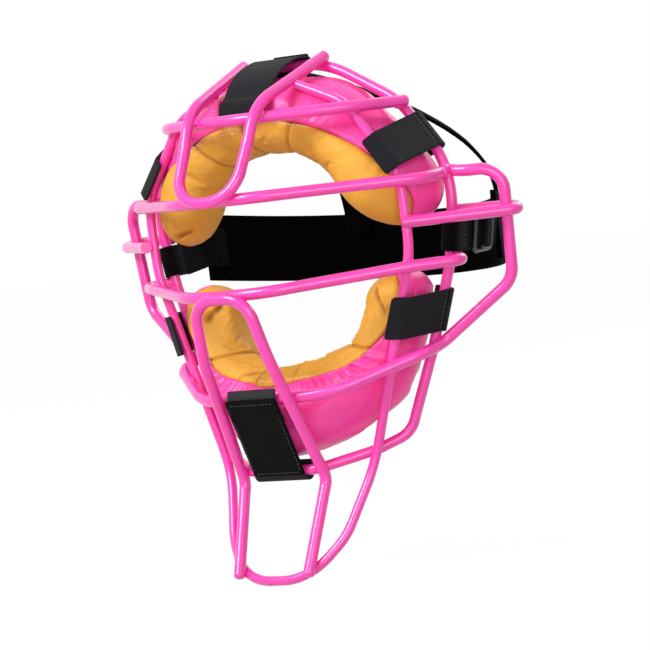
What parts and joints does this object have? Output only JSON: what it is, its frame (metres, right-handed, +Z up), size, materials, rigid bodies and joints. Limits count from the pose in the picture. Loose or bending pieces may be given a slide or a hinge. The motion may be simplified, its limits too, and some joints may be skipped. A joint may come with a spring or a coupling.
{
  "type": "umpire mask",
  "caption": "Wire face mask for an umpire with two padded face cushions, webbing tabs with flaps that peel open and an elastic head harness.",
  "frame": {"origin": "centre of the eye opening, in the plane of the rear frame wire", "axes": "+Z up, the wearer looks along -Y, +X to the right in the front view"},
  "size_m": [0.2562, 0.2069, 0.268],
  "materials": {
    "pink_vinyl_wire": "glossy",
    "pink_vinyl": "satin",
    "tan_leather": "soft matte",
    "foam": "matte",
    "charcoal_webbing": "matte weave",
    "black_elastic": "matte knit",
    "grey_wire": "satin"
  },
  "bodies": {
    "cage": {"rear_frame": "pink_vinyl_wire", "front_frame": "pink_vinyl_wire", "forehead_loop": "pink_vinyl_wire", "mouth_loop": "pink_vinyl_wire", "upper_sight_bar": "pink_vinyl_wire", "lower_sight_bar": "pink_vinyl_wire", "brow_bar": "pink_vinyl_wire", "side_bar_left": "pink_vinyl_wire", "side_bar_right": "pink_vinyl_wire", "jaw_and_ear_guard": "pink_vinyl_wire", "upper_pad_core": "foam", "upper_pad_cover": "pink_vinyl", "upper_pad_lining": "tan_leather", "lower_pad_core": "foam", "lower_pad_cover": "pink_vinyl", "lower_pad_lining": "tan_leather", "top_tab": "charcoal_webbing", "upper_tab_left": "charcoal_webbing", "upper_tab_right": "charcoal_webbing", "lower_tab_left": "charcoal_webbing", "lower_tab_right": "charcoal_webbing", "chin_tab": "charcoal_webbing", "chin_tab_anchor": "charcoal_webbing", "strap_loop_left": "black_elastic", "strap_loop_right": "black_elastic", "side_strap_left": "black_elastic", "side_strap_right": "black_elastic", "back_band": "black_elastic", "crown_patch": "black_elastic", "crown_strap_left": "black_elastic", "crown_strap_right": "black_elastic"},
    "top_flap": {"top_tab_flap": "charcoal_webbing"},
    "upper_right_flap": {"upper_tab_flap_right": "charcoal_webbing"},
    "upper_left_flap": {"upper_tab_flap_left": "charcoal_webbing"},
    "lower_right_flap": {"lower_tab_flap_right": "charcoal_webbing"},
    "lower_left_flap": {"lower_tab_flap_left": "charcoal_webbing"},
    "chin_flap": {"chin_tab_flap": "charcoal_webbing"},
    "slide": {"strap_slide": "grey_wire", "strap_fold": "black_elastic"}
  },
  "joints": [
    {"name": "top_flap_hinge", "type": "hinge", "parent": "cage", "child": "top_flap", "pos_m": [0, -0.0002, 0.09275], "axis": [-1, 0, 0], "range_deg": [0, 110]},
    {"name": "upper_right_flap_hinge", "type": "hinge", "parent": "cage", "child": "upper_right_flap", "pos_m": [0.08568, -0.00226, 0.04847], "axis": [-0.59, 0, 0.8074], "range_deg": [0, 110]},
    {"name": "upper_left_flap_hinge", "type": "hinge", "parent": "cage", "child": "upper_left_flap", "pos_m": [-0.08568, -0.00226, 0.04847], "axis": [-0.59, 0, -0.8074], "range_deg": [0, 110]},
    {"name": "lower_right_flap_hinge", "type": "hinge", "parent": "cage", "child": "lower_right_flap", "pos_m": [0.08489, -0.00363, -0.04421], "axis": [0.312, 0.0693, 0.9475], "range_deg": [0, 75]},
    {"name": "lower_left_flap_hinge", "type": "hinge", "parent": "cage", "child": "lower_left_flap", "pos_m": [-0.08489, -0.00363, -0.04421], "axis": [0.312, -0.0693, -0.9475], "range_deg": [0, 75]},
    {"name": "chin_flap_hinge", "type": "hinge", "parent": "cage", "child": "chin_flap", "pos_m": [0, -0.04667, -0.11916], "axis": [1, 0, 0], "range_deg": [0, 110]},
    {"name": "strap_slide_travel", "type": "slide", "parent": "cage", "child": "slide", "axis": [-0.1569, 0.9874, 0.0215], "range_m": [-0.0095, 0.008]}
  ]
}
